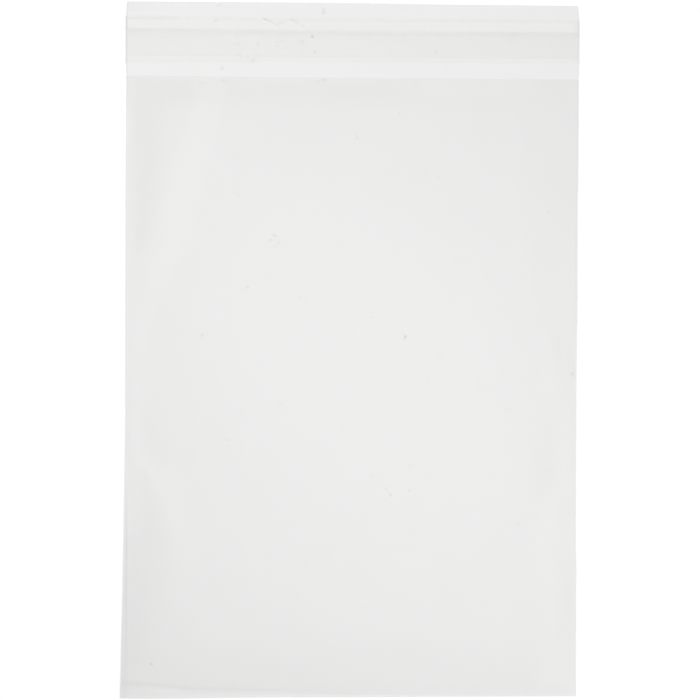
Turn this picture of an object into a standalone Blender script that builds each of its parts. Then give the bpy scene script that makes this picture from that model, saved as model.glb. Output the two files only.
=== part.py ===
"""A flat, clear film bag for sheets of paper, with a self-adhesive flap, lying on its back.

The bag is one web of film, folded at the bottom and welded along both sides. The back panel is
longer than the front one, and the extra length is the flap. The flap carries a strip of adhesive
under a peel-off liner. Metres, +Z up. +Y runs from the bottom fold to the flap's cut edge, +X
across the bag. The origin is the centre of the area that the bag covers, on the surface it lies on.
"""

import math

import bmesh
import bpy
from mathutils import Vector

# The film and the bag's flat size
BAG_WIDTH = 0.225
BODY_HEIGHT = 0.308
FLAP_HEIGHT = 0.037
FILM_THICKNESS = 0.00004

# The side welds: a bead along the cut edge, where the film melted, and a flat fused band beside it
BEAD_WIDTH = 0.0005
BEAD_RISE = 0.00006
FUSED_WIDTH = 0.0004

# The left weld widens towards the bottom corner, where the cut ran outwards
FLARE_WIDTH = 0.0024
FLARE_HEIGHT = 0.140
FLARE_POWER = 1.5

# The air between the two panels
POCKET_GAP = 0.0022
MOUTH_GAP = 0.0013
FOLD_GAP = 0.0006
SIDE_RISE = 0.024
FOLD_RISE = 0.020
MOUTH_FALL = 0.070

# The front panel's slack, as long low waves across the bag
SLACK_HEIGHT = 0.00025
SLACK_LENGTH = 0.110
SLACK_LEAN = 0.45

# The flap's corners are cut in a little
FLAP_TAPER = 0.0007
FLAP_TAPER_LENGTH = 0.007

# The adhesive strip, placed from the flap's cut edge
ADHESIVE_FROM_EDGE = 0.0087
ADHESIVE_WIDTH = 0.005
ADHESIVE_THICKNESS = 0.00003
ADHESIVE_END_INSET = 0.0006

# The peel-off liner, which starts just above the adhesive and ends in a raised lip
LINER_ABOVE_ADHESIVE = 0.0012
LINER_WIDTH = 0.0216
LINER_THICKNESS = 0.00004
LINER_END_OVERHANG = 0.0003
LIP_WIDTH = 0.0025
LIP_RISE = 0.0006

# Between pieces that lie on each other
CONTACT_GAP = 0.00002

# How finely the curved film is divided
SIDE_COLUMNS = 6
MIDDLE_COLUMNS = 10
PANEL_ROWS = 22
FOLD_STEPS = 6
LIP_STEPS = 6

WELD_WIDTH = BEAD_WIDTH + FUSED_WIDTH
WELDED_THICKNESS = 2 * FILM_THICKNESS
BAG_LENGTH = BODY_HEIGHT + FLAP_HEIGHT
HALF_WIDTH = BAG_WIDTH / 2
FOLD_Y = -BAG_LENGTH / 2
MOUTH_Y = FOLD_Y + BODY_HEIGHT
EDGE_Y = MOUTH_Y + FLAP_HEIGHT

# The flare and the liner's ends reach past the welds, so this centres the whole outline on X = 0
CENTRE_SHIFT = (max(FLARE_WIDTH, LINER_END_OVERHANG) - LINER_END_OVERHANG) / 2

FILM_COLOUR = (0.93, 0.94, 0.94, 0.35)
ADHESIVE_COLOUR = (0.95, 0.94, 0.88, 0.5)
LINER_COLOUR = (0.94, 0.95, 0.95, 0.4)


def clear_scene():
    for obj in list(bpy.data.objects):
        bpy.data.objects.remove(obj, do_unlink=True)


def plastic(name, colour, roughness):
    """A clear plastic film or coat of the given colour."""
    material = bpy.data.materials.new(name)
    material.use_nodes = True
    shader = material.node_tree.nodes["Principled BSDF"]
    shader.inputs["Base Color"].default_value = (*colour[:3], 1.0)
    shader.inputs["Alpha"].default_value = colour[3]
    shader.inputs["Roughness"].default_value = roughness
    shader.inputs["Metallic"].default_value = 0.0
    material.diffuse_color = colour
    return material


def rise(distance, length):
    """0 at the weld or fold and 1 from length onwards, as a quarter of a sine wave."""
    return math.sin(math.pi / 2 * min(max(distance / length, 0.0), 1.0))


def ease(share):
    """0 to 1 with a level start and end."""
    share = min(max(share, 0.0), 1.0)
    return share * share * (3 - 2 * share)


def side_rise(x):
    """How far the front panel is up at x, from 0 on a weld to 1 away from it."""
    return rise(HALF_WIDTH - WELD_WIDTH - abs(x), SIDE_RISE)


def pocket_gap(x, above_fold):
    """The air between the panels at x, and at that distance above the bottom fold."""
    below_mouth = BODY_HEIGHT - above_fold
    full = MOUTH_GAP + (POCKET_GAP - MOUTH_GAP) * ease(below_mouth / MOUTH_FALL)
    slack = SLACK_HEIGHT * math.sin(2 * math.pi * (above_fold + SLACK_LEAN * x) / SLACK_LENGTH)
    raised = FOLD_GAP + (full + slack - FOLD_GAP) * rise(above_fold, FOLD_RISE)
    return side_rise(x) * raised


def flare(above_fold):
    """How far the left edge stands out past the straight weld."""
    left = max(FLARE_HEIGHT - above_fold, 0.0) / FLARE_HEIGHT
    return FLARE_WIDTH * left**FLARE_POWER


def taper(y):
    """How far each side of the flap is cut in at y."""
    below_edge = EDGE_Y - y
    return FLAP_TAPER * max(1 - below_edge / FLAP_TAPER_LENGTH, 0.0)


def panel_columns():
    """The x of each column inside the welds, closer together where the film rises."""
    inner = HALF_WIDTH - WELD_WIDTH
    level = inner - SIDE_RISE
    side = [inner - SIDE_RISE * k / SIDE_COLUMNS for k in range(SIDE_COLUMNS)]
    middle = [level - 2 * level * k / MIDDLE_COLUMNS for k in range(MIDDLE_COLUMNS + 1)]
    return [-x for x in side] + [-x for x in middle] + side[::-1]


def weld_columns():
    """Each weld column's distance from the bag's edge, and its thickness."""
    return [
        (0.0, WELDED_THICKNESS),
        (BEAD_WIDTH / 2, WELDED_THICKNESS + BEAD_RISE),
        (BEAD_WIDTH, WELDED_THICKNESS),
    ]


class FilmSection:
    """The web of film cut along one column. In a weld column both panels are one thickness."""

    def __init__(self, x, thickness=None):
        self.x = x
        self.welded = thickness is not None
        self.fold_gap = 0.0 if self.welded else pocket_gap(x, 0.0)
        self.fold_height = thickness if self.welded else WELDED_THICKNESS + self.fold_gap
        self.thickness = thickness

    def place(self, y, z):
        """A point of this column. Weld columns follow the bag's edge, and the rest are straight."""
        x = self.x * (HALF_WIDTH - taper(y)) / HALF_WIDTH
        if self.welded and self.x < 0:
            x -= flare(y - FOLD_Y)
        return Vector((x + CENTRE_SHIFT, y, z))

    def rows(self):
        """The y of each row from the fold's end to the mouth."""
        start = FOLD_Y + self.fold_height / 2
        return [start + (MOUTH_Y - start) * (k / PANEL_ROWS) for k in range(PANEL_ROWS + 1)]

    def gap(self, y):
        start = FOLD_Y + self.fold_height / 2
        share = (y - start) / (MOUTH_Y - start)
        return 0.0 if self.welded else pocket_gap(self.x, share * BODY_HEIGHT)

    def half_round(self, radius):
        """The fold's outer or inner half circle, from the back panel round to the front one."""
        centre_y = FOLD_Y + self.fold_height / 2
        centre_z = self.fold_height / 2
        turns = [math.pi * (k / FOLD_STEPS - 0.5) for k in range(1, FOLD_STEPS)]
        edge = self.place(centre_y, 0.0)
        return [
            Vector((edge.x, centre_y - radius * math.cos(t), centre_z + radius * math.sin(t)))
            for t in turns
        ]

    def underside(self):
        return [self.place(y, 0.0) for y in self.rows()]

    def outer_fold(self):
        return self.half_round(self.fold_height / 2)

    def top(self):
        def height(y):
            return self.thickness if self.welded else WELDED_THICKNESS + self.gap(y)

        return [self.place(y, height(y)) for y in self.rows()]

    def ceiling(self):
        return [self.place(y, FILM_THICKNESS + self.gap(y)) for y in self.rows()]

    def inner_fold(self):
        return self.half_round(self.fold_gap / 2)

    def floor(self):
        return [self.place(y, FILM_THICKNESS) for y in self.rows()]

    def flap(self, z):
        """The flap's face at height z, above the mouth."""
        return [self.place(EDGE_Y - FLAP_TAPER_LENGTH, z), self.place(EDGE_Y, z)]


def film_sections():
    """All the bag's columns, from its left edge to its right edge."""
    welds = weld_columns()
    left = [FilmSection(-HALF_WIDTH + inset, thickness) for inset, thickness in welds]
    inside = [FilmSection(x) for x in panel_columns()]
    right = [FilmSection(HALF_WIDTH - inset, thickness) for inset, thickness in welds[::-1]]
    return left + inside + right


def add_line(mesh, points):
    return [mesh.verts.new(point) for point in points]


def join_lines(mesh, first, second):
    """A strip of faces between two lines with as many points."""
    for k in range(len(first) - 1):
        mesh.faces.new((first[k], first[k + 1], second[k + 1], second[k]))


def outer_line(mesh, section):
    """The column's outside, from the flap's edge along the back, round the fold and up the front."""
    underneath = section.flap(0.0)[::-1] + section.underside()[::-1]
    return add_line(mesh, underneath + section.outer_fold() + section.top())


def inner_line(mesh, section):
    """The column's inside, from the mouth down the front panel, round the fold and up the back."""
    down = section.ceiling()[::-1] + section.inner_fold()[::-1]
    return add_line(mesh, down + section.floor())


def close_side(mesh, outer, mouth, flap):
    """The bag's side face at one end column: the fold's half disc, the weld's edge and the flap's."""
    rows = PANEL_ROWS
    under = outer[: rows + 3][::-1]
    fold = outer[rows + 3 : rows + 2 + FOLD_STEPS]
    top = outer[rows + 2 + FOLD_STEPS :]
    mesh.faces.new([under[0], *fold, top[0]])
    for k in range(rows - 1):
        mesh.faces.new((under[k], top[k], top[k + 1], under[k + 1]))
    mesh.faces.new((under[rows - 1], top[rows - 1], top[rows], mouth, under[rows]))
    faces = [mouth, *flap]
    for k in range(2):
        mesh.faces.new((under[rows + k], faces[k], faces[k + 1], under[rows + k + 1]))


def build_film(material):
    """The whole bag as one closed body: the outside and the inside are grids of columns."""
    sections = film_sections()
    welds = len(weld_columns())
    mesh = bmesh.new()
    outers = [outer_line(mesh, section) for section in sections]
    mouths = [mesh.verts.new(section.floor()[-1]) for section in sections]
    flaps = [add_line(mesh, section.flap(FILM_THICKNESS)) for section in sections]
    inners = {
        k: inner_line(mesh, section) for k, section in enumerate(sections) if not section.welded
    }
    last = len(sections) - 1
    for k in range(last):
        join_lines(mesh, outers[k], outers[k + 1])
        join_lines(mesh, [mouths[k], *flaps[k]], [mouths[k + 1], *flaps[k + 1]])
        join_lines(mesh, [flaps[k][-1], outers[k][0]], [flaps[k + 1][-1], outers[k + 1][0]])
        if welds <= k < last - welds:
            join_lines(mesh, inners[k], inners[k + 1])
            join_lines(mesh, [outers[k][-1], inners[k][0]], [outers[k + 1][-1], inners[k + 1][0]])
        else:
            join_lines(mesh, [outers[k][-1], mouths[k]], [outers[k + 1][-1], mouths[k + 1]])
    close_side(mesh, outers[0], mouths[0], flaps[0])
    close_side(mesh, outers[last], mouths[last], flaps[last])
    return finish(mesh, "bag_film", material)


def finish(mesh, name, material):
    """Merges what coincides, turns the faces outwards and makes the object."""
    bmesh.ops.remove_doubles(mesh, verts=mesh.verts, dist=1e-7)
    bmesh.ops.recalc_face_normals(mesh, faces=mesh.faces)
    data = bpy.data.meshes.new(name)
    mesh.to_mesh(data)
    mesh.free()
    data.materials.append(material)
    obj = bpy.data.objects.new(name, data)
    bpy.context.collection.objects.link(obj)
    return obj


def extrude_across(outline, half_length):
    """A closed outline in Y and Z, drawn out along X to both sides of the bag's middle."""
    mesh = bmesh.new()
    ring = [mesh.verts.new((CENTRE_SHIFT - half_length, y, z)) for y, z in outline]
    face = mesh.faces.new(ring)
    drawn = bmesh.ops.extrude_face_region(mesh, geom=[face])
    moved = [item for item in drawn["geom"] if isinstance(item, bmesh.types.BMVert)]
    bmesh.ops.translate(mesh, verts=moved, vec=(2 * half_length, 0.0, 0.0))
    return mesh


def build_adhesive(material):
    """The coat of adhesive, a thin flat bar on the flap's upper face."""
    top_y = EDGE_Y - ADHESIVE_FROM_EDGE
    bottom_y = top_y - ADHESIVE_WIDTH
    low = FILM_THICKNESS + CONTACT_GAP
    high = low + ADHESIVE_THICKNESS
    outline = [(bottom_y, low), (top_y, low), (top_y, high), (bottom_y, high)]
    mesh = extrude_across(outline, HALF_WIDTH - ADHESIVE_END_INSET)
    return finish(mesh, "adhesive_strip", material)


def build_liner(material):
    """The peel-off liner, flat over the adhesive, with its free edge curled up as a lip."""
    top_y = EDGE_Y - ADHESIVE_FROM_EDGE + LINER_ABOVE_ADHESIVE
    lip_y = top_y - LINER_WIDTH + LIP_WIDTH
    low = FILM_THICKNESS + 2 * CONTACT_GAP + ADHESIVE_THICKNESS
    under = [(top_y, low)]
    for k in range(LIP_STEPS + 1):
        share = k / LIP_STEPS
        under.append((lip_y - LIP_WIDTH * share, low + LIP_RISE * share * share))
    over = [(y, z + LINER_THICKNESS) for y, z in reversed(under)]
    mesh = extrude_across(under + over, HALF_WIDTH + LINER_END_OVERHANG)
    return finish(mesh, "release_liner", material)


def main():
    clear_scene()
    build_film(plastic("film", FILM_COLOUR, 0.08))
    build_adhesive(plastic("adhesive", ADHESIVE_COLOUR, 0.35))
    build_liner(plastic("liner", LINER_COLOUR, 0.12))


main()
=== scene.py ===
"""The look of a flat, clear film bag with a self-adhesive flap, lying on its back under soft light.

Metres, +Z up. +Y runs from the bottom fold to the flap's cut edge. Lengths along the bag are given
above the fold, and lengths across it are given as an inset from its left or right edge.
"""

import math
from functools import partial

import bpy
import numpy as np
from bpy.props import FloatProperty, IntProperty, PointerProperty
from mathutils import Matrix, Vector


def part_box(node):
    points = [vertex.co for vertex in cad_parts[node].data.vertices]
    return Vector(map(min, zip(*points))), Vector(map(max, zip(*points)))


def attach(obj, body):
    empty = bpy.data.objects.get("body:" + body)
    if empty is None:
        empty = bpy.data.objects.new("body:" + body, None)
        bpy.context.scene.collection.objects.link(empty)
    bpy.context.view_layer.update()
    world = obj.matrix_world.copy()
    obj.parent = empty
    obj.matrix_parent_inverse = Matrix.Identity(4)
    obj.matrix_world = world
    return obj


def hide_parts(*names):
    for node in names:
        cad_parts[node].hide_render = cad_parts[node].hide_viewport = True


bl_info = {
    "name": "Clear film bag",
    "version": (1, 0, 0),
    "blender": (4, 5, 0),
    "location": "3D View > Sidebar > Film bag",
    "description": "Makes a flat clear bag with an adhesive flap, its liner and a studio floor",
    "category": "Add Mesh",
}

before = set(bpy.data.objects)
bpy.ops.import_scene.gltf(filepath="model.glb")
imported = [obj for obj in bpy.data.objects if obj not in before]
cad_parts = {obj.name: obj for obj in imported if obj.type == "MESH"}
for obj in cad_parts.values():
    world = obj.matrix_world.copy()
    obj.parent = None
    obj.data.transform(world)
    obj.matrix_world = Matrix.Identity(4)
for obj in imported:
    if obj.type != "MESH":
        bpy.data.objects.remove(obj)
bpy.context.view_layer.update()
FILM_LOW, FILM_HIGH = (np.array(corner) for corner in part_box("bag_film"))
GLUE_LOW, GLUE_HIGH = (np.array(corner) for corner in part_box("adhesive_strip"))
LINER_LOW, LINER_HIGH = (np.array(corner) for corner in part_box("release_liner"))

MM = 0.001
# How far from the fold the film's rows are close together and shifted by the fold's radius
FOLD_REACH = 9 * MM


# Settings


class BagFilmSettings(bpy.types.PropertyGroup):
    """The film: its thickness, where it is folded, welded and cut, and the air inside."""

    thickness: FloatProperty(
        name="Film thickness", description="One layer of film", default=0.04 * MM, unit="LENGTH"
    )
    flap_height: FloatProperty(
        name="Flap height",
        description="From the mouth to the cut edge",
        default=37 * MM,
        unit="LENGTH",
    )
    weld_width: FloatProperty(
        name="Weld width", description="Fused band down each side", default=0.9 * MM, unit="LENGTH"
    )
    bead_width: FloatProperty(
        name="Bead width",
        description="Melted bead along the welds",
        default=0.5 * MM,
        unit="LENGTH",
    )
    flare_width: FloatProperty(
        name="Flare width",
        description="How far the left edge runs out at the bottom corner",
        default=2.4 * MM,
        unit="LENGTH",
    )
    flare_height: FloatProperty(
        name="Flare height",
        description="Where the left edge starts to run out",
        default=140 * MM,
        unit="LENGTH",
    )
    taper: FloatProperty(
        name="Corner taper",
        description="How far the flap's corners are cut in",
        default=0.7 * MM,
        unit="LENGTH",
    )
    taper_height: FloatProperty(
        name="Taper height",
        description="How far down the corners' cut reaches",
        default=7 * MM,
        unit="LENGTH",
    )
    pillow: FloatProperty(
        name="Air between panels",
        description="How much the middle stands up",
        default=0.5 * MM,
        unit="LENGTH",
    )
    mouth_gap: FloatProperty(
        name="Gap at the mouth",
        description="How far the mouth stands open",
        default=0.45 * MM,
        unit="LENGTH",
    )
    crest: FloatProperty(
        name="Crest",
        description="Half the height of the low crest down each side",
        default=0.42 * MM,
        unit="LENGTH",
    )
    haze: FloatProperty(
        name="Haze", description="Share of creased film's tint in each flat face", default=0.153
    )


class LinerSettings(bpy.types.PropertyGroup):
    """The peel-off liner over the adhesive."""

    thickness: FloatProperty(
        name="Liner thickness", description="One layer of liner", default=0.04 * MM, unit="LENGTH"
    )
    lip_width: FloatProperty(
        name="Lip width", description="Raised free edge", default=2.5 * MM, unit="LENGTH"
    )
    lip_rise: FloatProperty(
        name="Lip rise",
        description="How far the free edge stands up",
        default=1.0 * MM,
        unit="LENGTH",
    )
    haze: FloatProperty(
        name="Haze", description="Share of the liner's tint in each face", default=0.1316
    )
    slack: FloatProperty(
        name="Slack",
        description="How far the loose part stands off the flap",
        default=0.08 * MM,
        unit="LENGTH",
    )


class WearSettings(bpy.types.PropertyGroup):
    """Dust and scuffs from handling."""

    specks: IntProperty(name="Specks", description="Small specks strewn over the bag", default=90)
    seed: IntProperty(name="Seed", description="Pattern of the strewn specks", default=5)


class StageSettings(bpy.types.PropertyGroup):
    """The floor, the light and the camera."""

    distance: FloatProperty(
        name="Camera height", description="Above the floor", default=0.9, unit="LENGTH"
    )
    lens: FloatProperty(name="Lens", description="Focal length in millimetres", default=93.2)
    glow: FloatProperty(name="Overhead glow", description="Light straight above", default=0.88)
    lamp_power: FloatProperty(
        name="Softbox power", description="Each softbox's light", default=4.35, unit="POWER"
    )


# Shape of the film


def settings():
    """The bag's settings in this scene."""
    return bpy.context.scene.film_bag


def ramp(distance, length):
    """A quarter of a sine wave, from 0 at distance 0 to 1 from length onwards."""
    return np.sin(np.pi / 2 * np.clip(distance / length, 0.0, 1.0))


def rise(distance, near, far):
    """Two ramps in one: steep over the near length, then gentle over the far one."""
    return 0.3 * ramp(distance, near) + 0.7 * ramp(distance, far)


def ease(share):
    """A cubic from 0 to 1 with level ends."""
    share = np.clip(share, 0.0, 1.0)
    return share * share * (3 - 2 * share)


def along(value, *knots):
    """A smooth curve through (position, height) knots, level at each knot and beyond the ends."""
    places, heights = (np.array(row, float) for row in zip(*knots))
    index = np.clip(np.searchsorted(places, value) - 1, 0, len(places) - 2)
    share = (value - places[index]) / (places[index + 1] - places[index])
    return heights[index] + (heights[index + 1] - heights[index]) * ease(share)


def hump(distance, width):
    """A bell curve with that half width."""
    return np.exp(-((distance / width) ** 2))


class BagShape:
    """Where each layer of the bag lies, as functions of x and of the height above the fold."""

    def __init__(self):
        film = settings().film
        self.film = film
        self.fold_y = float(FILM_LOW[1])
        self.edge_y = float(FILM_HIGH[1])
        self.mouth = self.edge_y - film.flap_height - self.fold_y
        self.length = self.edge_y - self.fold_y
        self.left = float(FILM_LOW[0]) + film.flare_width
        self.right = float(FILM_HIGH[0])

    def flare(self, above):
        """How far the left edge stands out, growing with the power 1.5 towards the fold."""
        film = self.film
        return film.flare_width * np.clip(1 - above / film.flare_height, 0, 1) ** 1.5

    def taper(self, above):
        """How far the flap's sides are cut in, evenly more towards its edge."""
        film = self.film
        return film.taper * np.clip(1 - (self.length - above) / film.taper_height, 0, 1)

    def drift(self, inset_left, above):
        """How far the knife wandered: the shift of the left edge and of the right one, blended."""
        up = above / MM
        left = along(up, (0, 0.15), (98, 0.1), (125, 0.25), (240, 0.28), (290, 0.45), (345, 0.3))
        right = along(
            up,
            (0, 0.55),
            (60, 0.45),
            (85, 0.05),
            (155, 0.0),
            (195, 0.3),
            (235, 0.2),
            (270, 0.45),
            (345, 0.5),
        )
        share = np.clip(inset_left / (self.right - self.left), 0, 1)
        return (left + (right - left) * share) * MM

    def across(self, inset_left, above):
        """x for an inset from the left edge. The weld's outer part follows the bag's outline."""
        width = self.right - self.left
        film = self.film
        drift = self.drift(inset_left, above)
        # The web's ends stop inside the beads, each column 5 % of its inset after the one before
        body = above <= self.mouth
        start = 0.9 * film.bead_width + 0.05 * inset_left
        inset_left = np.where(body, np.maximum(inset_left, start), inset_left)
        end = width - 0.9 * film.bead_width - 0.05 * (width - inset_left)
        inset_left = np.where(body, np.minimum(inset_left, end), inset_left)
        from_bead = (inset_left - film.bead_width) / (film.weld_width - film.bead_width)
        x = self.left + inset_left - np.clip(1 - from_bead, 0, 1) * self.flare(above) + drift
        middle = (self.left + self.right) / 2
        return middle + (x - middle) * (1 - 2 * self.taper(above) / width)

    def hem(self, x):
        """The flat strip beside the fold, wide at the left and narrow from the middle on."""
        inset = (x - self.left) / MM
        end = (self.right - self.left) / MM
        return MM * along(inset, (0, 7.2), (12, 6.4), (37, 4.0), (77, 3.0), (117, 1.2), (end, 0.8))

    def bow(self, x, above):
        """How far the fold bows down near the left corner, and the cut edge towards the right."""
        share = (x - self.left) / (self.right - self.left)
        fold = along(share, (0, 0.2), (0.05, 0.4), (0.33, 0.0), (1, 0.0))
        cut = along(share, (0, 0.2), (0.5, 0.05), (0.75, 0.35), (1, 0.35))
        near_fold = np.clip(1 - above / (20 * MM), 0, 1)
        near_cut = np.clip(1 - (self.length - above) / (6 * MM), 0, 1)
        return (fold * near_fold + cut * near_cut) * MM

    def left_crest(self, above):
        """The inset of the long low crest that runs down the bag's left side."""
        up = above / MM
        knots = (0, 40), (60, 34), (104, 20), (126, 4), (188, 7), (233, 24), (302, 43)
        return MM * along(up, *knots)

    def right_crest(self, above):
        """The inset of the crest at the right side."""
        up = above / MM
        knots = (0, 14), (69, 16), (92, 14), (104, 3), (133, 3), (150, 11), (240, 30), (302, 34)
        return MM * along(up, *knots)

    def gap(self, x, above):
        """The air between the panels: a flat pillow, a low crest down each side and long waves.

        The panel is welded down at the sides, sags a little at the mouth, and rises steeply from
        the flat hem at the fold, most of all at the left.
        """
        film = self.film
        up = above / MM
        inset_left = np.clip(x - self.left - film.weld_width, 0, None)
        inset_right = np.clip(self.right - film.weld_width - x, 0, None)
        pillow = film.pillow * ramp(inset_left, 50 * MM) * ramp(inset_right, 50 * MM)
        left = np.tanh((inset_left - self.left_crest(above)) / (5 * MM))
        right = np.tanh((inset_right - self.right_crest(above)) / (4 * MM))
        knots = (0, 0.2), (70, 0.25), (105, 0.6), (140, 1.0), (195, 0.45), (245, 1.0)
        left_height = along(up, *knots)
        right_height = 0.6 * along(up, (140, 1.0), (190, 0.3))
        crests = film.crest * (left_height * (1 - left) + right_height * (1 - right))
        waves = 0.05 * MM * np.sin((above + 0.35 * x) / (17 * MM))
        waves = waves + 0.04 * MM * np.sin((0.8 * above - x) / (12 * MM) + 1.0)
        near_left = MM * along(up, (75, 22), (115, 0.8), (260, 0.8), (305, 5))
        near_right = MM * along(up, (40, 9), (80, 0.8), (150, 0.8), (190, 17))
        sides = rise(inset_left, near_left, 22 * MM) * rise(inset_right, near_right, 26 * MM)
        raised = film.mouth_gap + pillow + crests + waves
        sag = 1 - 0.5 * ease(1 - (self.mouth - above) / (16 * MM))
        from_hem = np.clip(above - self.hem(x), 0, None)
        end = (self.right - self.left) / MM
        steep = along((x - self.left) / MM, (0, 1.0), (90, 0.6), (150, 0.1), (end, 0.1))
        at_fold = steep * (0.15 * ramp(from_hem, 7 * MM) + 0.85 * ramp(from_hem, 26 * MM))
        at_fold = at_fold + (1 - steep) * ramp(from_hem, 40 * MM)
        smallest = 0.006 * MM
        return np.clip(raised * sides * sag * at_fold, 0, None) + smallest

    def cling(self, x, above):
        """Where the panels cling with no air between them, from 0 to 1.

        A band winds down the left side, strips lie beside the welds, and one lies below the mouth
        at the right. Each eases to 0 over a soft edge.
        """
        up = above / MM
        from_left, from_right = (x - self.left) / MM, (self.right - x) / MM
        below_mouth = (self.mouth - above) / MM
        centre = along(
            up,
            (100, 18.5),
            (108, 14.5),
            (124, 5.5),
            (150, 4.5),
            (183, 5.5),
            (208, 12),
            (233, 24),
            (258, 31),
            (302, 41.5),
        )
        half = along(up, (100, 1), (124, 2), (150, 3), (183, 5), (208, 9.5), (302, 7))
        strength = along(up, (98, 0.0), (108, 1.0), (124, 1.0), (150, 0.7), (190, 1.0), (302, 1.0))
        band = strength * ease(1 + (half - np.abs(from_left - centre)) / 1.5)
        beside_left = ease(1 + (4.5 - from_left) / 1.5) * ease((up - 140) / 20)
        corner = 0.9 * ease(1 + (8 - from_left) / 3) * ease((up - 78) / 12) * ease((128 - up) / 12)
        reach = along(
            up,
            (8, 17),
            (39, 12),
            (59, 14.5),
            (79, 18),
            (91, 15.5),
            (101, 11),
            (108, 7),
            (173, 6),
            (188, 10),
            (203, 14),
            (218, 16),
            (248, 20),
        )
        strength = along(
            up,
            (8, 0.7),
            (40, 0.7),
            (85, 1.0),
            (140, 0.7),
            (155, 0.6),
            (175, 0.9),
            (225, 0.8),
            (262, 0.5),
        )
        soft = along(up, (155, 1.5), (190, 4))
        beside_right = strength * ease(1 + (reach - from_right) / soft)
        at_mouth = along(x / MM, (10, 0.0), (45, 0.9), (80, 0.9), (100, 0.35))
        at_mouth = at_mouth * ease(1 + (9 - below_mouth) / 6)
        places = np.broadcast_arrays(band, beside_left, corner, beside_right, at_mouth)
        return np.maximum.reduce(places) * ease(below_mouth / 2)

    def front(self, x, above):
        """The middle height of the front panel's film."""
        return 1.5 * self.film.thickness + self.gap(x, above)

    def front_face(self, x, above):
        """The height of the front panel's upper face."""
        return self.front(x, above) + self.film.thickness / 2

    def back(self, x, above):
        """The middle height of the back panel's film, which lies flat."""
        return np.full(np.broadcast(x, above).shape, self.film.thickness / 2)


def spread(*stretches):
    """Places along a line: each stretch is (end, spacing), and the first starts at 0."""
    places, start = [np.zeros(1)], 0.0
    for end, spacing in stretches:
        count = max(int(math.ceil((end - start) / spacing - 1e-6)), 1)
        places.append(start + (end - start) * np.arange(1, count + 1) / count)
        start = end
    return np.concatenate(places)


def both_ends(total, *stretches):
    """The same places from both ends of a line, with the last stretch between them."""
    half = spread(*stretches[:-1])
    middle = spread((total - 2 * half[-1], stretches[-1][1])) + half[-1]
    return np.concatenate([half, middle[1:-1], (total - half)[::-1]])


# Meshes


def grid_faces(rows, columns, start=0, flip=False):
    """Quads between the neighbouring points of a grid stored row by row."""
    row, column = np.meshgrid(np.arange(rows - 1), np.arange(columns - 1), indexing="ij")
    corner = start + row * columns + column
    quads = np.stack([corner, corner + 1, corner + columns + 1, corner + columns], axis=-1)
    quads = quads.reshape(-1, 4)
    return quads[:, ::-1] if flip else quads


def rim_faces(rows, columns, apart):
    """Quads that join the four borders of a grid to the same grid stored apart points later."""
    index = np.arange(rows * columns).reshape(rows, columns)
    loop = np.concatenate([index[0, :-1], index[:-1, -1], index[-1, :0:-1], index[:0:-1, 0]])
    after = np.roll(loop, -1)
    return np.stack([loop, loop + apart, after + apart, after], axis=-1)


def surface_normals(points):
    """Unit normals of a (rows, columns, 3) grid, as the cross product of its two directions."""
    along_rows = np.gradient(points, axis=0)
    along_columns = np.gradient(points, axis=1)
    normal = np.cross(along_columns, along_rows)
    return normal / np.linalg.norm(normal, axis=-1, keepdims=True)


def film_mesh(points, thickness):
    """A grid thickened by half to each side and closed all round: outer face, then inner."""
    rows, columns = points.shape[:2]
    shift = surface_normals(points) * thickness / 2
    count = rows * columns
    verts = np.concatenate([(points + shift).reshape(-1, 3), (points - shift).reshape(-1, 3)])
    faces = np.concatenate(
        [
            grid_faces(rows, columns),
            grid_faces(rows, columns, count, flip=True),
            rim_faces(rows, columns, count),
        ]
    )
    return verts, faces


def both_faces(outer, inner):
    """The values at a film's points: those of its outer face, then those of its inner face."""
    return np.concatenate([np.ravel(outer), np.ravel(inner)])


def make_object(name, verts, faces, material, attributes=None):
    """A mesh object at the origin, shaded smooth except at its sharp rims."""
    mesh = bpy.data.meshes.new(name)
    mesh.from_pydata(np.asarray(verts, float), [], faces)
    for key, values in (attributes or {}).items():
        layer = mesh.attributes.new(key, "FLOAT", "POINT")
        layer.data.foreach_set("value", np.asarray(values, np.float32).ravel())
    mesh.shade_smooth()
    mesh.set_sharp_from_angle(angle=math.radians(40))
    mesh.update()
    if mesh.validate():
        raise RuntimeError(f"{name} has faces that Blender had to repair")
    mesh.materials.append(material)
    obj = bpy.data.objects.new(name, mesh)
    bpy.context.collection.objects.link(obj)
    return obj


# Materials


def hex_colour(code, alpha=1.0):
    """An sRGB hex colour as linear RGBA."""
    values = np.array([int(code[k : k + 2], 16) for k in (0, 2, 4)]) / 255
    linear = np.where(values <= 0.04045, values / 12.92, ((values + 0.055) / 1.055) ** 2.4)
    return (*(float(v) for v in linear), alpha)


def faint(code, share):
    """White with that share of a hex colour: one step of hex is too coarse for clear film."""
    return tuple(1 - share * (1 - value) for value in hex_colour(code))


def add_node(tree, kind, inputs=(), out=0, **values):
    """Adds a node with its properties and its inputs, by name or in order, and gives one output.

    An input given as a socket is linked.
    """
    node = tree.nodes.new("ShaderNode" + kind)
    for key, value in values.items():
        setattr(node, key, value)
    named = inputs if isinstance(inputs, dict) else dict(enumerate(inputs))
    for key, value in named.items():
        if isinstance(value, bpy.types.NodeSocket):
            tree.links.new(value, node.inputs[key])
        else:
            node.inputs[key].default_value = value
    return node.outputs[out] if len(node.outputs) else None


def new_material(name):
    """An empty material, and the function that adds nodes to it."""
    material = bpy.data.materials.new(name)
    material.use_nodes = True
    material.node_tree.nodes.clear()
    return material, partial(add_node, material.node_tree)


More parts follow.
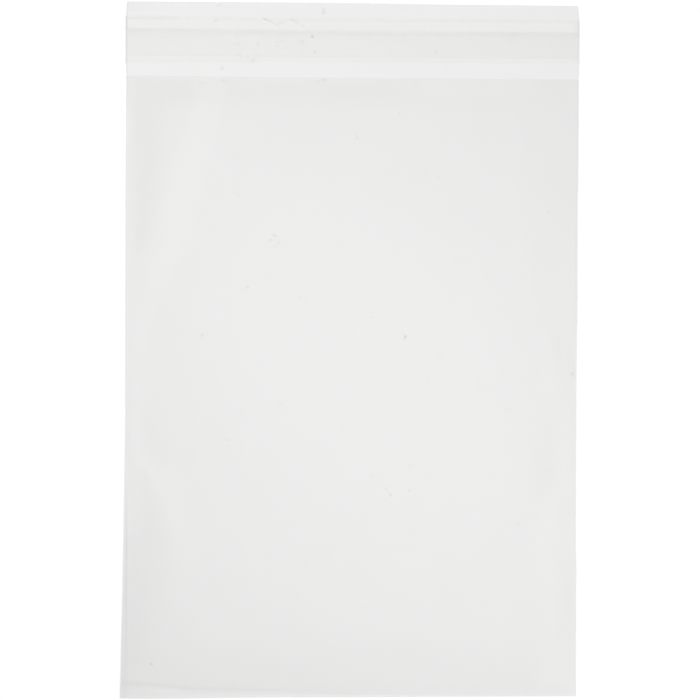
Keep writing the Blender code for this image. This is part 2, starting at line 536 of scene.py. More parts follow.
def film_material(name, clear, shade=0.985, mirror=0.04):
    """A clear film's face. Light passes, except for what the face mirrors, more so at a flat angle.

    The edge attribute marks cut, creased and melted film, which passes less, and painted shade:
    near the bag's lower left corner, along the hem, at the liner's cut ends and where the liner
    bends up off the adhesive. The wet attribute marks film that adhesive touches, and the cling
    attribute film that
    touches the other panel: both mirror nothing, because no air is left there. The
    bare_and_highlight attribute marks film that the adhesive wets, which is clearer, and a painted
    highlight along the liner's free edge. The floor gets the share called shade of its light
    through the film, nearly all, because film and floor pass light to and fro.
    """
    material, add = new_material(name)
    edge, wet, cling, bare_and_highlight = (
        add("Attribute", out="Fac", attribute_name=key)
        for key in ("edge", "wet", "cling", "bare_and_highlight")
    )
    place = add("TexCoord", out="Object")
    facing = add("LayerWeight", {"Blend": 0.5}, out="Facing")
    grazing = add("Math", (facing, 5.0), operation="POWER")
    mirrored = add("Math", (grazing, 1 - mirror, mirror), operation="MULTIPLY_ADD")
    touched = add("Math", (wet, cling), operation="MAXIMUM")
    dry = add("Math", (1.0, touched), operation="SUBTRACT")
    mirrored = add("Math", (mirrored, dry), operation="MULTIPLY")
    # Drawn lines, long along the web. Real ones are finer too, but would not show from above
    across, lengthwise = 9 * MM, 40 * MM
    drawn = add("Mapping", {"Vector": place, "Scale": (1 / across, 1 / lengthwise, 1.0)})
    lines = add("TexNoise", {"Vector": drawn, "Scale": 1.0, "Detail": 2.0}, out="Fac")
    bump = add("Bump", {"Height": lines, "Strength": 1.0, "Distance": 0.06 * MM})
    # Where the edge attribute is 1 the face passes F7F7F7: cut, creased or melted film, and painted
    # shade
    white, creased = hex_colour("FFFFFF"), hex_colour("F7F7F7")
    clear = add("Mix", {"Factor": bare_and_highlight, 6: clear, 7: white}, out=2, data_type="RGBA")
    passed = add("Mix", {"Factor": edge, 6: clear, 7: creased}, out=2, data_type="RGBA")
    see = add("BsdfTransparent", {"Color": passed})
    gloss = add(
        "BsdfPrincipled", {"Base Color": white, "Metallic": 1.0, "Roughness": 0.0, "Normal": bump}
    )
    face = add("MixShader", {0: mirrored, 1: see, 2: gloss})
    shadow_ray = add("LightPath", out="Is Shadow Ray")
    thin = add("BsdfTransparent", {"Color": (shade, shade, shade, 1.0)})
    whole = add("MixShader", {0: shadow_ray, 1: face, 2: thin})
    add("OutputMaterial", {"Surface": whole})
    return material


def adhesive_material():
    """Clear acrylic adhesive that wets the film: only its ragged edges and blotches show."""
    material, add = new_material("clear acrylic adhesive")
    place = add("TexCoord", out="Object")
    y = add("SeparateXYZ", {"Vector": place}, out="Y")
    # Teeth along the coat's edges and blotches in it, about 4 mm apart: finer ones would not show
    tooth, blotch = 3.846 * MM, 4.167 * MM
    ragged = add("TexNoise", {"Vector": place, "Scale": 1 / tooth}, out="Fac")
    shifted = add("Math", (ragged, 0.3 * MM, y), operation="MULTIPLY_ADD")
    start, end = float(GLUE_LOW[1]), float(GLUE_HIGH[1])
    low = add("MapRange", (shifted, start + 0.2 * MM, start + 0.9 * MM, 0.35, 0.0))
    high = add("MapRange", (shifted, end - 0.25 * MM, end + 0.1 * MM, 0.0, 0.7))
    mottled = add("TexNoise", {"Vector": place, "Scale": 1 / blotch, "Detail": 1.0}, out="Fac")
    rim = add("Math", (low, high), operation="ADD")
    blotches = add("MapRange", (mottled, 0.4, 0.7, 0.0, 0.15))
    rim = add("Math", (rim, blotches), operation="ADD")
    clear, cloudy = hex_colour("FFFFFE"), hex_colour("FDFDFB")
    passed = add("Mix", {"Factor": rim, 6: clear, 7: cloudy}, out=2, data_type="RGBA")
    see = add("BsdfTransparent", {"Color": passed})
    add("OutputMaterial", {"Surface": see})
    return material


def mark_material(name):
    """Dust or a scuff on the film: matt, and the darker the more its depth attribute says."""
    material, add = new_material(name)
    depth = add("Attribute", out="Fac", attribute_name="depth")
    pale, dark = hex_colour("ECECEC"), hex_colour("707070")
    tone = add("Mix", {"Factor": depth, 6: pale, 7: dark}, out=2, data_type="RGBA")
    matt = add("BsdfPrincipled", {"Base Color": tone, "Roughness": 0.8, "Specular IOR Level": 0.2})
    add("OutputMaterial", {"Surface": matt})
    return material


# Pieces


def lets_light_down(obj, casts_shadow=False):
    """Clear pieces leave the floor's own light alone, so that only the film dims it a little."""
    obj.visible_diffuse = False
    obj.visible_shadow = casts_shadow


def belongs(obj, slot, *nodes):
    """The piece rides on the bag's one body and stands for these nodes, which it hides. The slot is
    not used.
    """
    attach(obj, "root")
    if nodes:
        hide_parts(*nodes)


def film_columns(shape):
    """Insets from the left edge: close at the welds, where the film is melted and creased."""
    width = shape.right - shape.left
    return both_ends(
        width, (0.5 * MM, 0.1 * MM), (1.6 * MM, 0.22 * MM), (5 * MM, 0.85 * MM), (width, 1.6 * MM)
    )


def back_rows(shape):
    """Heights above the fold on the flat back panel."""
    return spread((FOLD_REACH, 1.5 * MM), (shape.mouth, 6 * MM))


def panel_rows(shape):
    """Heights above the fold: close at the hem and at the mouth's cut edge."""
    start = spread((FOLD_REACH, 0.6 * MM), (40 * MM, 1.6 * MM), (shape.mouth - 2 * MM, 2.4 * MM))
    end = shape.mouth - spread((0.3 * MM, 0.1 * MM), (2 * MM, 0.42 * MM))[::-1]
    return np.concatenate([start, end[1:]])


def flap_rows(shape):
    """Heights from the mouth to the flap's edge, with close pairs where the adhesive ends."""
    start, top = shape.mouth, shape.length
    glue = [GLUE_LOW[1] - shape.fold_y, GLUE_HIGH[1] - shape.fold_y]
    rest = top - 0.6 * MM - glue[1]
    above_glue = spread((0.8 * MM, 0.8 * MM), (2.2 * MM, 0.2 * MM), (rest, 1.5 * MM))
    return np.concatenate(
        [
            start + spread((glue[0] - 0.3 * MM - start, 1.8 * MM))[1:],
            [glue[0] - 0.05 * MM, glue[0] + 0.05 * MM],
            glue[0] + spread((glue[1] - glue[0] - 0.3 * MM, 1.2 * MM))[1:],
            [glue[1] - 0.05 * MM, glue[1] + 0.05 * MM],
            glue[1] + above_glue[1:],
            [top - 0.3 * MM, top - 0.15 * MM, top],
        ]
    )


def film_grid(shape):
    """The web of film as a grid: down the flap and the back panel, round the fold, up the front."""
    inset = film_columns(shape)
    rows = panel_rows(shape)
    radius = (shape.front(shape.across(inset, 0.0), 0.0) - shape.film.thickness / 2) / 2
    down = np.concatenate([flap_rows(shape)[::-1], back_rows(shape)[::-1]])[:, None]
    start = radius * np.clip(1 - down / FOLD_REACH, 0, 1)
    x = shape.across(inset, down)
    back_y = shape.fold_y + down + start - shape.bow(x, down)
    back = np.stack([x, back_y, shape.back(x, down)], axis=-1)
    turn = np.radians(np.linspace(-90, 90, 9)[1:-1])[:, None]
    x = shape.across(inset, 0.0) + 0 * turn
    fold_y = shape.fold_y + radius * (1 - np.cos(turn)) - shape.bow(x, 0.0)
    fold_z = shape.film.thickness / 2 + radius * (1 + np.sin(turn))
    fold = np.stack([x, fold_y, fold_z], axis=-1)
    up = rows[:, None]
    start = radius * np.clip(1 - up / FOLD_REACH, 0, 1)
    x = shape.across(inset, up)
    front_y = shape.fold_y + up + start - shape.bow(x, up)
    front = np.stack([x, front_y, shape.front(x, up)], axis=-1)
    above = np.concatenate([down, 0 * turn, up]) + 0 * inset
    is_front = np.concatenate([0 * down, 0 * turn, 1 + 0 * up]) + 0 * inset
    return np.concatenate([back, fold, front]), above, is_front, inset


def film_edges(shape, above, is_front, inset):
    """How much the film is cut, creased or melted, or has painted shade, at each point, from 0 to
    1.
    """
    width = shape.right - shape.left
    x = shape.across(inset, above)
    from_left = (x - shape.left) / MM
    end = width / MM
    body = above <= shape.mouth
    left = np.where(body, 0.08, 0.35) * hump(inset - 0.7 * MM, 0.4 * MM)
    right = hump(width - inset - 0.9 * MM, 0.35 * MM)
    right = right * (0.02 + 0.12 * ease((above - 165 * MM) / (30 * MM)))
    cut = np.where(body, 0.25 * hump(shape.mouth - above, 0.2 * MM) * is_front, 0)
    cut = cut + 0.12 * hump(shape.length - above, 0.3 * MM)
    crease = 0.5 * hump(inset - 1.15 * MM, 0.35 * MM) * ease((112 * MM - above) / (30 * MM))
    crease = crease * is_front * along(above / MM, (0, 0.3), (20, 0.4), (50, 1.0), (345, 1.0))
    # Painted shade along the line where the front panel rises off the hem, on top of the shade its
    # tilt gives, strongest at the left where it rises most steeply
    hem = along(from_left, (0, 0.3), (37, 0.26), (90, 0.12), (130, 0.02), (end, 0.0))
    hem = hem * hump(above - shape.hem(x) - 0.3 * MM, 1.5 * MM) * is_front
    top_line = GLUE_HIGH[1] - shape.fold_y + 1.5 * MM
    drawn = along(from_left, (0, 0.3), (18, 0.25), (26, 0.08), (end, 0.03))
    drawn = drawn * hump(above - top_line, 0.25 * MM) * (1 - body)
    # Painted shade: the body's film passes less near its left edge, more so towards the fold
    painted_shade_lower_left = 0.14 * hump(inset, 10 * MM) * ease((75 * MM - above) / (60 * MM)) * body
    corner = 0.2 * hump(inset, 11 * MM) * ease((above - top_line) / (2 * MM))
    return np.clip(left + right + cut + crease + hem + drawn + painted_shade_lower_left + corner, 0, 1)


def film_wet(above, x, shape):
    """1 where adhesive touches the flap, and 0 elsewhere."""
    y = above + shape.fold_y
    inside = (y > GLUE_LOW[1]) & (y < GLUE_HIGH[1]) & (x > GLUE_LOW[0]) & (x < GLUE_HIGH[0])
    return inside.astype(float)


def bead_mesh(shape, at_left):
    """A melted bead: an ellipse carried along the bag's side from the fold to the mouth."""
    film = shape.film
    above = spread((shape.mouth, 3 * MM))[:, None]
    turn = np.linspace(0, 2 * np.pi, 12, endpoint=False)
    width = shape.right - shape.left
    inset = film.bead_width / 2
    if at_left:
        centre = shape.left + inset - shape.flare(above) + shape.drift(0.0, above)
    else:
        centre = shape.right - inset + shape.drift(width, above)
    wobble = 1 + 0.12 * np.sin(above / (3.1 * MM)) * np.sin(above / (7.7 * MM))
    half_width = film.bead_width / 2 * wobble
    half_height = 1.6 * film.thickness
    x = centre + half_width * np.cos(turn)
    y = shape.fold_y + above + 0 * turn
    z = half_height + half_height * np.sin(turn) + 0 * above
    ring = np.stack([x, y, z], axis=-1)
    rows, columns = ring.shape[:2]
    index = np.arange(rows * columns).reshape(rows, columns)
    after = np.roll(index, -1, axis=1)
    sides = np.stack([index[:-1], index[1:], after[1:], after[:-1]], axis=-1).reshape(-1, 4)
    centres = np.stack([ring[0].mean(axis=0), ring[-1].mean(axis=0)])
    first, last = rows * columns, rows * columns + 1
    start = np.stack([np.full(columns, first), index[0], after[0]], axis=-1)
    end = np.stack([np.full(columns, last), after[-1], index[-1]], axis=-1)
    verts = np.concatenate([ring.reshape(-1, 3), centres])
    return verts, sides.tolist() + start.tolist() + end.tolist()


class FILMBAG_OT_film(bpy.types.Operator):
    """Make the bag's film: flap, back panel, fold and front panel in one web"""

    bl_idname = "film_bag.film"
    bl_label = "Film"

    def execute(self, context):
        shape = BagShape()
        film = shape.film
        points, above, is_front, inset = film_grid(shape)
        edge = film_edges(shape, above, is_front, inset)
        wet = film_wet(above, points[..., 0], shape)
        cling = np.where(above > 5 * MM, shape.cling(points[..., 0], above), 0.0)
        verts, faces = film_mesh(points, film.thickness)
        # Polypropylene film, stretched both ways: clear and glossy, with faint lines along the web
        material = film_material("stretched polypropylene film", faint("F7F7F6", film.haze))
        attributes = {
            "edge": both_faces(edge, edge),
            "wet": both_faces(0 * wet, wet),
            "bare_and_highlight": both_faces(wet, wet),
            "cling": both_faces(0 * cling, cling),
        }
        obj = make_object("film_bag_web", verts, faces, material, attributes)
        lets_light_down(obj, casts_shadow=True)
        belongs(obj, "film", "bag_film")
        return {"FINISHED"}


class FILMBAG_OT_welds(bpy.types.Operator):
    """Make the melted bead along each side weld"""

    bl_idname = "film_bag.welds"
    bl_label = "Weld beads"

    def execute(self, context):
        shape = BagShape()
        # Melted polypropylene: as clear as the film, in a round thread that catches a light line
        clear = faint("F7F7F7", shape.film.haze)
        material = film_material("melted polypropylene bead", clear, shade=1.0)
        for name, at_left in (("weld_bead_left", True), ("weld_bead_right", False)):
            verts, faces = bead_mesh(shape, at_left)
            obj = make_object(name, verts, faces, material)
            lets_light_down(obj)
            belongs(obj, "film")
        return {"FINISHED"}


def liner_rows(lip_width, glue_end, glue_start, height):
    """Heights above the lip's free edge: close on the lip, and in pairs where the adhesive ends."""
    return np.concatenate(
        [
            spread(
                (1.2 * MM, 0.12 * MM),
                (lip_width, 0.26 * MM),
                (lip_width + 0.2 * MM, 0.1 * MM),
                (glue_end - 0.3 * MM, 1.3 * MM),
            ),
            [glue_end - 0.05 * MM, glue_end + 0.05 * MM],
            glue_end + spread((glue_start - glue_end - 0.3 * MM, 1.1 * MM))[1:],
            [glue_start - 0.05 * MM, glue_start + 0.05 * MM],
            [height - 0.5 * MM, height - 0.2 * MM, height],
        ]
    )


def liner_grid(liner, x, up, glue_end):
    """The liner: flat on the adhesive, a little slack below it, and raised along its lip.

    The lip's profile is a straight slope with a rounded start, one branch of a hyperbola. Its free
    edge slants, and reaches further down and up the more it does, most of all at the left.
    """
    lip = np.clip(1 - up / liner.lip_width, 0, 1)
    slant = MM * along(x / MM, (LINER_LOW[0] / MM, 2.2), (0, 1.0), (200, 0.2))
    y = LINER_LOW[1] + up - slant * lip
    rounding = 0.1
    slope = (np.sqrt(lip**2 + rounding**2) - rounding) / (math.hypot(1, rounding) - rounding)
    slope = slope * (1 + slant / liner.lip_width)
    wavy = 0.96 + 0.04 * np.sin(x / (16 * MM)) * np.sin(x / (43 * MM) + 1)
    loose = ease((glue_end - up) / (3 * MM)) * ease(up / (1.5 * liner.lip_width) + 0.3)
    ripple = 0.5 + 0.5 * np.sin(x / (13 * MM) + up / (9 * MM)) * np.sin(x / (31 * MM))
    z = LINER_LOW[2] + liner.thickness / 2 + liner.lip_rise * slope * wavy
    z = z + liner.slack * loose * ripple
    return np.stack(np.broadcast_arrays(x, y, z), axis=-1)


def liner_edges(liner, x, up, glue_end, glue_start, height):
    """How much the liner is cut or creased, or has painted shade, at each point, from 0 to 1."""
    left = LINER_LOW[0] / MM
    from_end = np.minimum(x - x[0], x[-1] - x) + 0 * up
    # The liner's cut ends pass less: partly cut film and partly a painted shadow of the overhanging
    # ends, strongest at the left end and further from the lip
    cut_end_and_shadow = np.where(x < 0, 0.85, 0.3) * along(up / MM, (0, 0.6), (14, 0.6), (17, 1.0), (22, 1.0))
    edge = cut_end_and_shadow * hump(from_end - 0.55 * MM, 0.35 * MM)
    edge = edge + 0.05 * hump(up - liner.lip_width, 0.35 * MM)
    edge = edge + 0.05 * hump(height - up, 0.25 * MM)
    ragged = 0.5 + 0.5 * np.sin(x / (4 * MM)) * np.sin(x / (11 * MM) + 1)
    strong = along(x / MM, (left, 1.15), (0, 0.6), (200, 0.9))
    sway = MM * along(x / MM, (left, 0.5), (8, -0.35), (60, 0.0), (105, 0.3))
    # Painted shade in a line and a wider band just below the adhesive, where the liner bends up off
    # it
    line = (0.28 + 0.15 * ragged) * hump(up - glue_end + 1.0 * MM - sway, 0.8 * MM)
    lift_shade_band = (0.05 + 0.07 * ragged) * hump(up - glue_end + 2.8 * MM, 1.8 * MM)
    edge = edge + strong * line + strong * lift_shade_band
    upper_line = along(x / MM, (left, 0.3), (left + 20, 0.25), (left + 30, 0.05), (200, 0.05))
    edge = edge + upper_line * hump(up - glue_start, 0.35 * MM)
    return np.clip(edge, 0, 1)


class FILMBAG_OT_liner(bpy.types.Operator):
    """Make the peel-off liner, flat on the adhesive and curled up along its free edge"""

    bl_idname = "film_bag.liner"
    bl_label = "Liner"

    def execute(self, context):
        liner = settings().liner
        left_inset, right_reach = 0.45 * MM, 0.3 * MM
        width = float(LINER_HIGH[0] - LINER_LOW[0]) - left_inset + right_reach
        height = float(LINER_HIGH[1] - LINER_LOW[1])
        glue_end = float(GLUE_LOW[1] - LINER_LOW[1])
        glue_start = float(GLUE_HIGH[1] - LINER_LOW[1])
        x = LINER_LOW[0] + left_inset + both_ends(width, (1.2 * MM, 0.2 * MM), (width, 2.2 * MM))
        up = liner_rows(liner.lip_width, glue_end, glue_start, height)[:, None]
        edge = liner_edges(liner, x, up, glue_end, glue_start, height)
        wet = (up > glue_end) & (up < glue_start) & (x > GLUE_LOW[0]) & (x < GLUE_HIGH[0])
        clinging = 0.7 * (up >= glue_start) * ease((x + 95 * MM) / (15 * MM))
        wet = np.maximum(wet, clinging)
        # Liner that the adhesive wets is clearer, and so is the last 0.45 mm of the lip's free
        # edge: a painted highlight along the free edge
        bare_and_highlight = np.clip(wet + (up < 0.45 * MM), 0, 1)
        verts, faces = film_mesh(liner_grid(liner, x, up, glue_end), liner.thickness)
        # Silicone-coated polypropylene: as clear and glossy as the film, with a trace of yellow
        clear = faint("F7F7F4", liner.haze)
        material = film_material("silicone-coated liner film", clear, shade=1.0)
        attributes = {
            "edge": both_faces(edge, edge),
            "wet": both_faces(0 * wet, wet),
            "bare_and_highlight": both_faces(bare_and_highlight, bare_and_highlight),
        }
        obj = make_object("liner_web", verts, faces, material, attributes)
        lets_light_down(obj)
        belongs(obj, "liner", "release_liner")
        return {"FINISHED"}


class FILMBAG_OT_adhesive(bpy.types.Operator):
    """Give the adhesive strip its finish"""

    bl_idname = "film_bag.adhesive"
    bl_label = "Adhesive"

    def execute(self, context):
        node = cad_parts["adhesive_strip"]
        node.data.materials.clear()
        node.data.materials.append(adhesive_material())
        lets_light_down(node)
        return {"FINISHED"}


def mark_meshes(marks):
    """Flattened ellipsoids: (x, y, z, half length, half width, turn) for each mark."""
    marks = np.asarray(marks, float)
    sides, rings, thick = 10, 3, 0.012 * MM
    around = np.linspace(0, 2 * np.pi, sides, endpoint=False)
    up = np.radians([-35.0, 0.0, 35.0])[:, None]
    flat = np.cos(up)
    ring = [flat * np.cos(around), flat * np.sin(around), np.sin(up) + 0 * around]
    unit = np.stack(ring, axis=-1).reshape(-1, 3)
    unit = np.concatenate([unit, [(0, 0, -1), (0, 0, 1)]])
    long = unit[None, :, 0] * marks[:, 3, None]
    wide = unit[None, :, 1] * marks[:, 4, None]
    turn = marks[:, 5, None]
    x = marks[:, 0, None] + long * np.cos(turn) - wide * np.sin(turn)
    y = marks[:, 1, None] + long * np.sin(turn) + wide * np.cos(turn)
    z = marks[:, 2, None] + unit[None, :, 2] * thick
    verts = np.stack([x, y, z], axis=-1).reshape(-1, 3)
    index = np.arange(rings * sides).reshape(rings, sides)
    after = np.roll(index, -1, axis=1)
    bottom, top = rings * sides, rings * sides + 1
    quads = np.stack([index[:-1], after[:-1], after[1:], index[1:]], axis=-1).reshape(-1, 4)
    low = np.stack([np.full(sides, bottom), after[0], index[0]], axis=-1)
    high = np.stack([np.full(sides, top), index[-1], after[-1]], axis=-1)
    shift = (np.arange(len(marks)) * len(unit))[:, None, None]
    faces = [*(quads + shift).reshape(-1, 4).tolist()]
    faces += [*(low + shift).reshape(-1, 3).tolist(), *(high + shift).reshape(-1, 3).tolist()]
    return verts, faces


# Marks that stand out: x, height above the fold, length and width in mm, turn, and how dark each is
FLAP_MARKS = [
    (-42.3, 336.6, 2.4, 1.2, -20, 0.18),
    (-40.2, 335.6, 4.0, 1.0, -28, 0.10),
    (-36.8, 334.0, 4.0, 0.9, -28, 0.08),
    (-29.0, 336.4, 1.8, 1.3, 0, 0.13),
    (-26.9, 335.2, 3.0, 1.0, -25, 0.08),
    (-23.6, 333.2, 2.6, 1.0, -40, 0.07),
    (-20.9, 330.9, 3.4, 0.9, -55, 0.07),
    (-19.0, 328.2, 1.7, 1.5, 0, 0.22),
    (-13.3, 341.6, 2.4, 1.6, -60, 0.07),
    (-13.5, 340.2, 2.0, 1.8, -80, 0.11),
    (-65.1, 343.3, 4.0, 1.2, 20, 0.07),
    (-66.5, 335.9, 3.0, 1.6, 30, 0.06),
    (-34.6, 334.8, 2.2, 2.2, 0, 0.05),
    (-55.9, 324.2, 3.4, 2.4, 0, 0.06),
    (-45.7, 324.4, 1.9, 3.0, 0, 0.07),
    (-35.8, 325.4, 4.4, 1.4, 10, 0.06),
    (-36.3, 323.6, 3.0, 1.4, 15, 0.06),
    (-24.1, 325.2, 3.2, 2.0, -40, 0.08),
    (-17.8, 320.6, 2.4, 1.8, -30, 0.09),
    (-20.4, 322.0, 2.4, 1.3, -15, 0.06),
    (-46.0, 318.7, 2.4, 2.0, 60, 0.06),
    (-48.5, 316.0, 3.5, 1.5, 50, 0.07),
    (-50.4, 318.0, 2.8, 1.6, 40, 0.05),
    (-55.2, 318.6, 3.5, 1.8, -20, 0.06),
    (-56.6, 321.1, 2.6, 1.6, 0, 0.04),
    (-63.6, 312.2, 2.4, 2.2, 30, 0.06),
    (42.3, 320.6, 1.7, 2.6, 0, 0.07),
    (-12.9, 306.8, 2.2, 1.6, 0, 0.10),
    (-15.9, 306.0, 3.2, 1.3, 10, 0.06),
    (-73.2, 304.6, 3.4, 1.2, 0, 0.06),
    (-62.9, 306.0, 2.2, 1.8, 0, 0.06),
    (-66.0, 329.6, 3.4, 1.8, 0, 0.05),
]
BODY_MARKS = [
    (27.8, 179.8, 1.5, 1.3, 0, 0.25),
    (27.3, 178.6, 1.2, 1.4, 60, 0.12),
    (-73.0, 180.0, 1.5, 1.2, 0, 0.22),
    (111.4, 161.2, 1.2, 1.3, 0, 0.25),
    (-97.9, 16.9, 1.4, 1.2, 0, 0.36),
    (30.3, 115.0, 1.6, 1.2, 20, 0.12),
    (98.9, 242.0, 1.7, 1.3, 0, 0.12),
    (24.4, 289.9, 2.0, 1.2, 15, 0.10),
    (11.2, 281.8, 1.6, 1.2, 0, 0.07),
    (3.0, 280.0, 1.5, 1.2, 0, 0.12),
    (86.7, 208.8, 1.6, 1.2, 0, 0.10),
    (72.6, 112.2, 1.6, 1.1, 0, 0.10),
    (100.4, 112.4, 1.5, 1.2, 0, 0.14),
    (-37.3, 229.6, 2.7, 1.1, -30, 0.10),
    (-35.3, 226.0, 2.4, 1.0, 40, 0.10),
    (-39.3, 227.4, 1.7, 1.3, 0, 0.10),
    (-50.7, 204.0, 2.0, 1.2, 20, 0.14),
    (-52.7, 202.2, 1.5, 1.0, 0, 0.10),
    (-24.9, 199.6, 2.2, 1.1, -50, 0.10),
    (11.0, 191.6, 1.7, 1.2, 0, 0.07),
    (-34.1, 145.8, 2.5, 1.1, 0, 0.11),
    (-30.8, 144.2, 1.7, 1.0, 0, 0.08),
    (20.8, 101.0, 2.3, 1.0, -35, 0.14),
    (18.4, 104.2, 1.9, 1.0, -35, 0.10),
    (-60.6, 128.2, 1.7, 1.3, 0, 0.12),
    (10.4, 188.8, 1.5, 1.0, 0, 0.08),
]


class FILMBAG_OT_wear(bpy.types.Operator):
    """Strew the specks and scuffs of handling over the film"""

    bl_idname = "film_bag.wear"
    bl_label = "Specks and scuffs"

    def execute(self, context):
        shape = BagShape()
        wear = settings().wear
        liner = settings().liner
        count = wear.specks
        random = np.random.default_rng(wear.seed)
        # In the order of the lists above
        strewn = np.stack(
            [
                random.uniform(-106, 106, count),
                random.uniform(12, 300, count),
                random.uniform(0.8, 1.8, count),
                random.uniform(0.7, 1.1, count),
                random.uniform(0, 180, count),
                random.uniform(0.10, 0.19, count),
            ],
            axis=1,
        )
        over_liner = float(LINER_LOW[2]) + liner.thickness + liner.slack + 0.03 * MM
        # Dust and scuffs are matt, so they look a little darker than the clear film round them
        material = mark_material("dust and scuffs")
        for name, rows, height in (
            ("flap_scuffs", np.array(FLAP_MARKS), lambda x, above: over_liner + 0 * x),
            ("film_specks", np.concatenate([BODY_MARKS, strewn]), shape.front_face),
        ):
            x, above, long, wide, turn, depth = rows.T
            x, above = x * MM, above * MM
            z = height(x, above) + 0.02 * MM
            half_long, half_wide = long * MM / 2, wide * MM / 2
            marks = np.stack(
                [x, shape.fold_y + above, z, half_long, half_wide, np.radians(turn)], axis=1
            )
            verts, faces = mark_meshes(marks)
            per_point = np.repeat(depth, len(verts) // len(rows))
            obj = make_object(name, verts, faces, material, {"depth": per_point})
            lets_light_down(obj)
            belongs(obj, "film")
        return {"FINISHED"}


# Stage


def floor_material():
    """Pale paper, raised to white where it is open, and left at its own pale grey under the film.

    The lift grows with the distance in metres, because the light falls off there.
    """
    material, add = new_material("pale paper floor")
    path = add("LightPath").node.outputs
    behind_film = add("Math", (path["Transparent Depth"], 1.0), operation="MINIMUM")
    open_view = add("Math", (path["Is Camera Ray"], behind_film), operation="SUBTRACT")
    open_view = add("Math", (open_view, 0.0), operation="MAXIMUM")
    seen = add("Math", (open_view, path["Is Glossy Ray"]), operation="MAXIMUM")
    seen = add("Math", (seen, path["Is Transmission Ray"]), operation="MAXIMUM")
    place = add("TexCoord", out="Object")
    away = add("VectorMath", {0: place}, out="Value", operation="LENGTH")
    near, far, least, most = 0.4, 1.6, 0.13, 0.6
    level = add("MapRange", (away, near, far, least, most), interpolation_type="SMOOTHSTEP")
    lift = add("Math", (seen, level), operation="MULTIPLY")
    paper = add("BsdfDiffuse", {"Color": hex_colour("F3F3F3")})
    glow = add("Emission", {"Strength": lift})
    both = add("AddShader", {0: paper, 1: glow})
    add("OutputMaterial", {"Surface": both})
    return material


def studio_world(stage):
    """A white studio, dark round the camera, with a soft glow overhead and grey flags lower down.

    The glow is a bell over a and b, the direction's X and Y for one unit of Z. It is longer along
    the diagonal from upper left to lower right, where the two softboxes stand. The flags are a bell
    over the direction's Z, and take a share of the light that is larger towards +X. Each bell is
    1/e to the power of a square.
    """
    glow_x, glow_y, glow_turn = 0.049, -0.019, math.radians(-135.5)
    glow_length, glow_width, glow_floor = 0.339, 0.231, 0.04
    dark_inside, white_outside = 0.945, 0.82
    flag_middle, flag_half, flag_share, flag_tilt = 0.45, 0.22, 0.35, 0.12
    world = bpy.data.worlds.new("soft studio")
    bpy.context.scene.world = world
    world.use_nodes = True
    world.node_tree.nodes.clear()
    add = partial(add_node, world.node_tree)
    way = add("TexCoord", out="Generated")
    parts = add("SeparateXYZ", {"Vector": way}).node.outputs
    up = add("Math", (parts["Z"], 0.05), operation="MAXIMUM")
    a = add("Math", (parts["X"], up), operation="DIVIDE")
    b = add("Math", (parts["Y"], up), operation="DIVIDE")
    a = add("Math", (a, glow_x), operation="SUBTRACT")
    b = add("Math", (b, glow_y), operation="SUBTRACT")
    flat = add("CombineXYZ", {"X": a, "Y": b})
    turned = add("VectorRotate", {"Vector": flat, "Angle": glow_turn}, rotation_type="Z_AXIS")
    sizes = (1 / glow_length, 1 / glow_width, 0.0)
    scaled = add("VectorMath", {0: turned, 1: sizes}, operation="MULTIPLY")
    square = add("VectorMath", {0: scaled, 1: scaled}, out="Value", operation="DOT_PRODUCT")
    bell = add("Math", (math.exp(-1), square), operation="POWER")
    overhead = add("Math", (bell, stage.glow, glow_floor), operation="MULTIPLY_ADD")
    level = add(
        "MapRange",
        (parts["Z"], dark_inside, white_outside, 0.0, 1.0),
        interpolation_type="SMOOTHSTEP",
    )
    strength = add("Mix", {"Factor": level, 2: overhead, 3: 1.0}, data_type="FLOAT")
    height = add("Math", (parts["Z"], flag_middle), operation="SUBTRACT")
    height = add("Math", (height, flag_half), operation="DIVIDE")
    square = add("Math", (height, height), operation="MULTIPLY")
    flag = add("Math", (math.exp(-1), square), operation="POWER")
    share = add("Math", (parts["X"], flag_tilt, flag_share), operation="MULTIPLY_ADD")
    taken = add("Math", (flag, share), operation="MULTIPLY")
    left_over = add("Math", (1.0, taken), operation="SUBTRACT")
    strength = add("Math", (strength, left_over), operation="MULTIPLY")
    sky = add("Background", {"Color": hex_colour("FFFFFF"), "Strength": strength})
    add("OutputWorld", {"Surface": sky})


def add_softbox(name, place, power, size=0.3):
    """A square softbox that faces the bag's centre. Film that mirrored it would burn out there."""
    light = bpy.data.lights.new(name, "AREA")
    light.energy = power
    light.size = size
    obj = bpy.data.objects.new(name, light)
    bpy.context.collection.objects.link(obj)
    x, y, z = place
    obj.location = place
    tilt, turn = math.atan2(math.hypot(x, y), z), math.atan2(y, x) + math.pi / 2
    obj.rotation_euler = (tilt, 0.0, turn)
    obj.visible_glossy = False


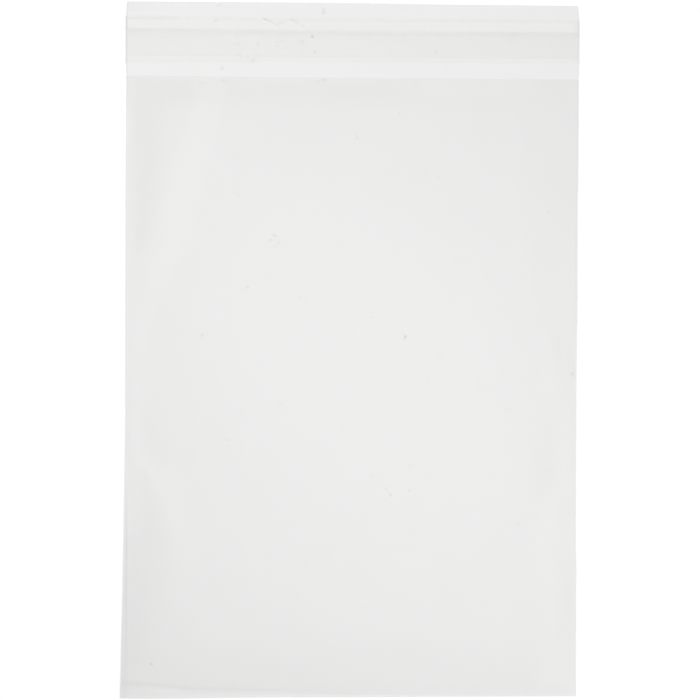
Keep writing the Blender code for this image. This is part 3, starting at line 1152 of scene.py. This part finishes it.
class FILMBAG_OT_stage(bpy.types.Operator):
    """Make the floor, the light and the camera"""

    bl_idname = "film_bag.stage"
    bl_label = "Stage"

    def execute(self, context):
        stage = settings().stage
        half, level = 4.0, -0.15 * MM
        corners = [(-half, -half), (half, -half), (half, half), (-half, half)]
        verts = [(x, y, level) for x, y in corners]
        floor = make_object("floor", verts, [(0, 1, 2, 3)], floor_material())
        studio_world(stage)
        add_softbox("softbox_upper_left", (-0.75, 0.75, 0.95), stage.lamp_power)
        add_softbox("softbox_lower_right", (0.75, -0.75, 0.95), stage.lamp_power)
        camera = bpy.data.cameras.new("overhead_camera")
        camera.lens = stage.lens
        camera.sensor_width = 36.0
        camera.clip_start = 0.01
        view = bpy.data.objects.new("overhead_camera", camera)
        bpy.context.collection.objects.link(view)
        beside_centre, tilt = (-0.0318, 0.0125), (-0.771, -2.036, 0.201)
        view.location = (*beside_centre, stage.distance)
        view.rotation_euler = [math.radians(angle) for angle in tilt]
        context.scene.camera = view
        context.scene.view_settings.view_transform = "Standard"
        return {"FINISHED"}


# Panel and registering


class FilmBagSettings(bpy.types.PropertyGroup):
    """All the bag's settings."""

    film: PointerProperty(type=BagFilmSettings)
    liner: PointerProperty(type=LinerSettings)
    wear: PointerProperty(type=WearSettings)
    stage: PointerProperty(type=StageSettings)


class FILMBAG_PT_panel(bpy.types.Panel):
    """The bag's settings and the buttons that make its pieces"""

    bl_idname = "FILMBAG_PT_panel"
    bl_label = "Film bag"
    bl_space_type = "VIEW_3D"
    bl_region_type = "UI"
    bl_category = "Film bag"

    def draw(self, context):
        for operator in OPERATORS:
            self.layout.operator(operator.bl_idname)
        for group in ("film", "liner", "wear", "stage"):
            box = self.layout.box()
            box.label(text=group.capitalize())
            values = getattr(settings(), group)
            for key in values.__annotations__:
                box.prop(values, key)


OPERATORS = (
    FILMBAG_OT_film,
    FILMBAG_OT_welds,
    FILMBAG_OT_liner,
    FILMBAG_OT_adhesive,
    FILMBAG_OT_wear,
    FILMBAG_OT_stage,
)
CLASSES = (
    BagFilmSettings,
    LinerSettings,
    WearSettings,
    StageSettings,
    FilmBagSettings,
    *OPERATORS,
    FILMBAG_PT_panel,
)


def register():
    for cls in CLASSES:
        bpy.utils.register_class(cls)
    bpy.types.Scene.film_bag = PointerProperty(type=FilmBagSettings)


def unregister():
    del bpy.types.Scene.film_bag
    for cls in reversed(CLASSES):
        bpy.utils.unregister_class(cls)


def main():
    register()
    bpy.ops.film_bag.film()
    bpy.ops.film_bag.welds()
    bpy.ops.film_bag.liner()
    bpy.ops.film_bag.adhesive()
    bpy.ops.film_bag.wear()
    bpy.ops.film_bag.stage()


if __name__ == "__main__":
    main()
